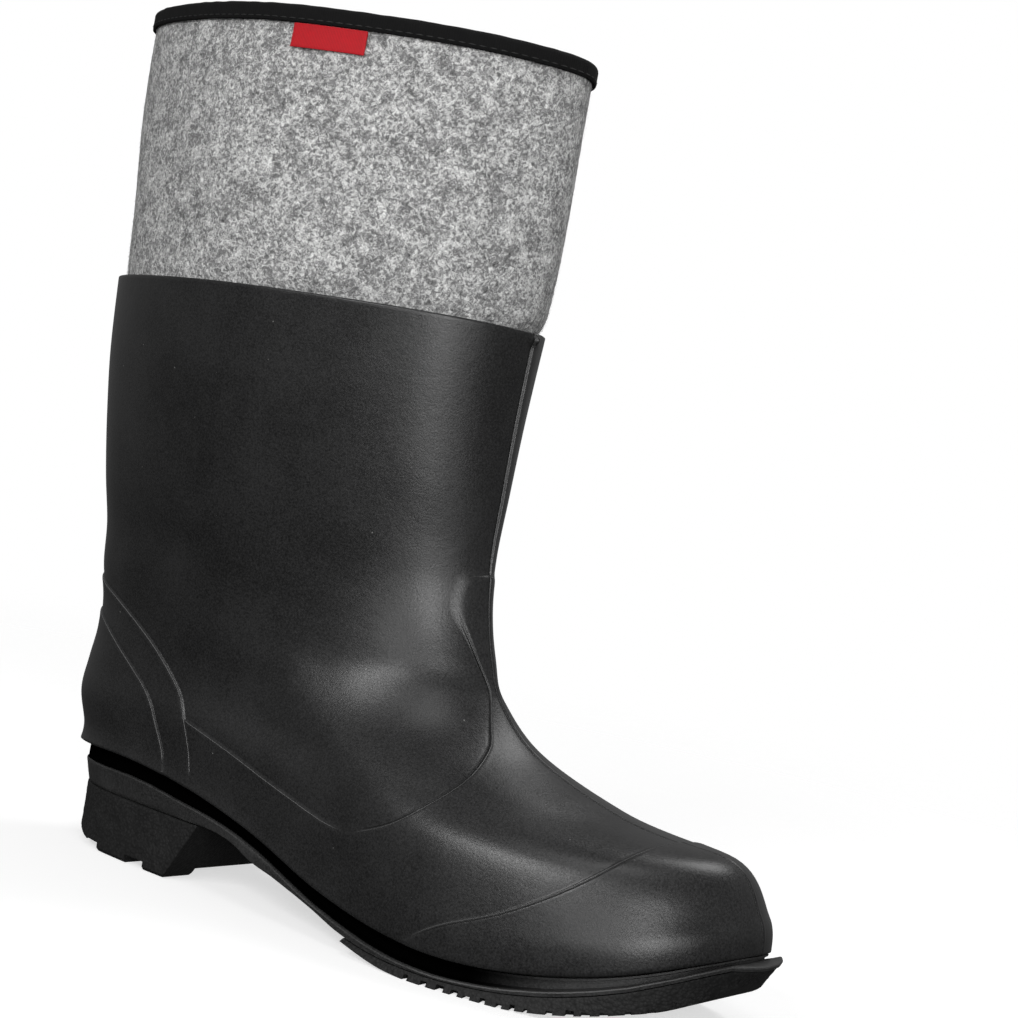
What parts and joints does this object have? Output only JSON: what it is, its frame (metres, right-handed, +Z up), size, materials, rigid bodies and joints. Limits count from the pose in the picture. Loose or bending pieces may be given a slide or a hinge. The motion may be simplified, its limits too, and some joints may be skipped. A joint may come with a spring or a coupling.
{
  "type": "felt-lined rubber boot",
  "caption": "Moulded black rubber boot for the right foot with a grey felt lining that stands out of its collar, a bound rim, a block heel and a notched forefoot tread.",
  "frame": {"origin": "centre of the bounding box in plan, on the floor that the boot stands on", "axes": "+X from the heel to the toe, +Y to the wearer's left (the inner side of this right boot), +Z up from the floor"},
  "size_m": [0.3162, 0.1126, 0.3108],
  "materials": {
    "upper_rubber": "satin, fine moulded grain",
    "sole_rubber": "matte",
    "tread_rubber": "matte, rough",
    "insole_felt": "felted",
    "felt": "grey mottled wool felt",
    "binding_tape": "woven tape",
    "tab_ribbon": "woven ribbon, blank"
  },
  "bodies": {
    "root": {"upper": "upper_rubber", "sole": "sole_rubber", "forefoot_tread": "tread_rubber", "heel": "tread_rubber", "insole": "insole_felt", "felt_shaft": "felt", "binding": "binding_tape", "label_tab": "tab_ribbon"}
  },
  "joints": []
}
